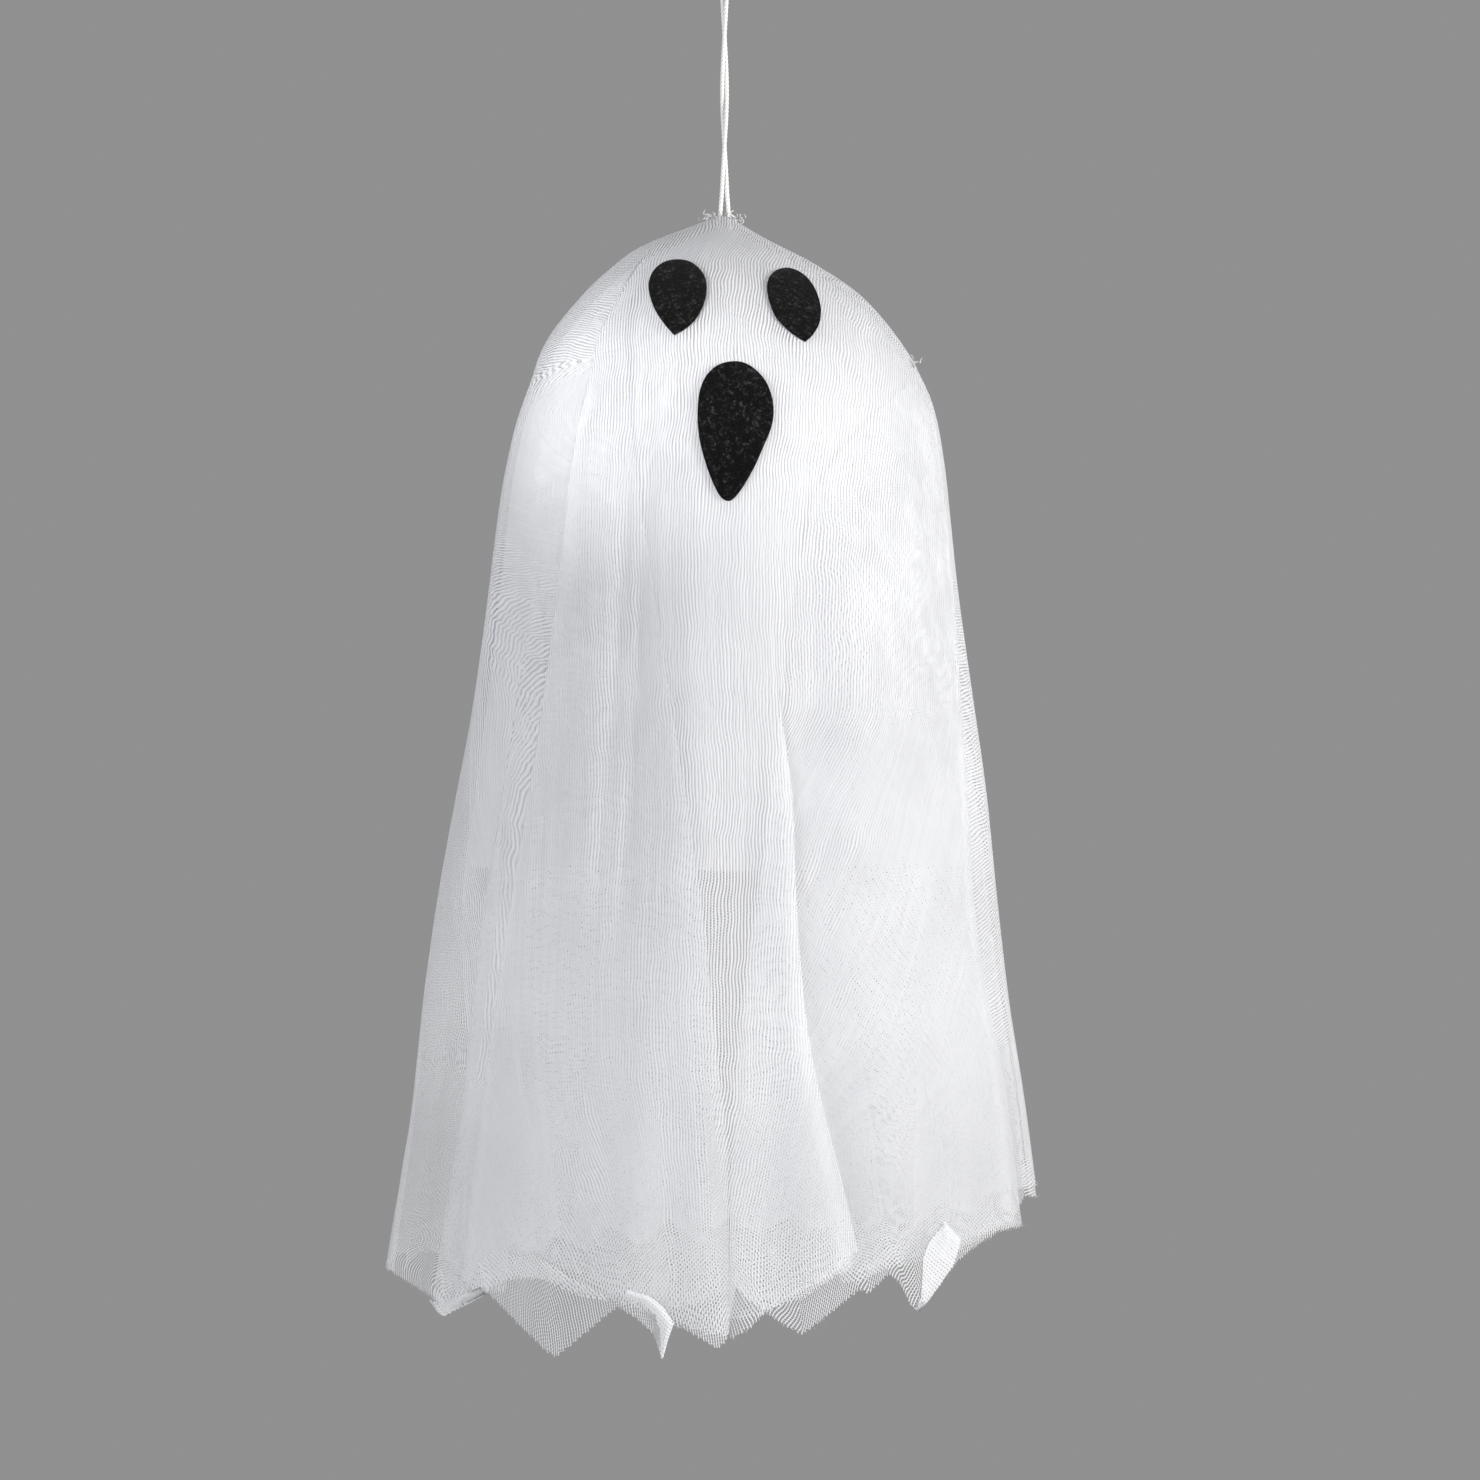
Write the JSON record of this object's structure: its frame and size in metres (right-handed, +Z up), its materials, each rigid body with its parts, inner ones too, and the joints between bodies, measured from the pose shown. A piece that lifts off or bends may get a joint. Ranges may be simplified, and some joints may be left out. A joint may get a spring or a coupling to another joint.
{
  "type": "hanging ghost decoration",
  "caption": "Ghost of draped white net cloth on a hidden wire dome, with black felt eyes and mouth, hung on a doubled string loop.",
  "frame": {"origin": "inside crown of the string's loop, where a hook carries the ghost", "axes": "+Z up along the string, -Y out of the face, +X to the right as seen from the front"},
  "size_m": [0.2918, 0.2913, 0.6193],
  "materials": {
    "white_net": "matt white knitted polyester net, see-through in one layer",
    "lining_net": "matt white knitted polyester net",
    "black_felt": "matt black felt with a short nap",
    "coated_wire": "satin white coated wire",
    "white_cotton": "matt white twisted cotton string"
  },
  "bodies": {
    "root": {"outer_shroud": "white_net", "inner_lining": "lining_net", "left_eye": "black_felt", "right_eye": "black_felt", "mouth": "black_felt", "shoulder_hoop": "coated_wire", "side_arch": "coated_wire", "front_arch": "coated_wire", "hanging_cord": "white_cotton", "cord_knot": "white_cotton"}
  },
  "joints": []
}
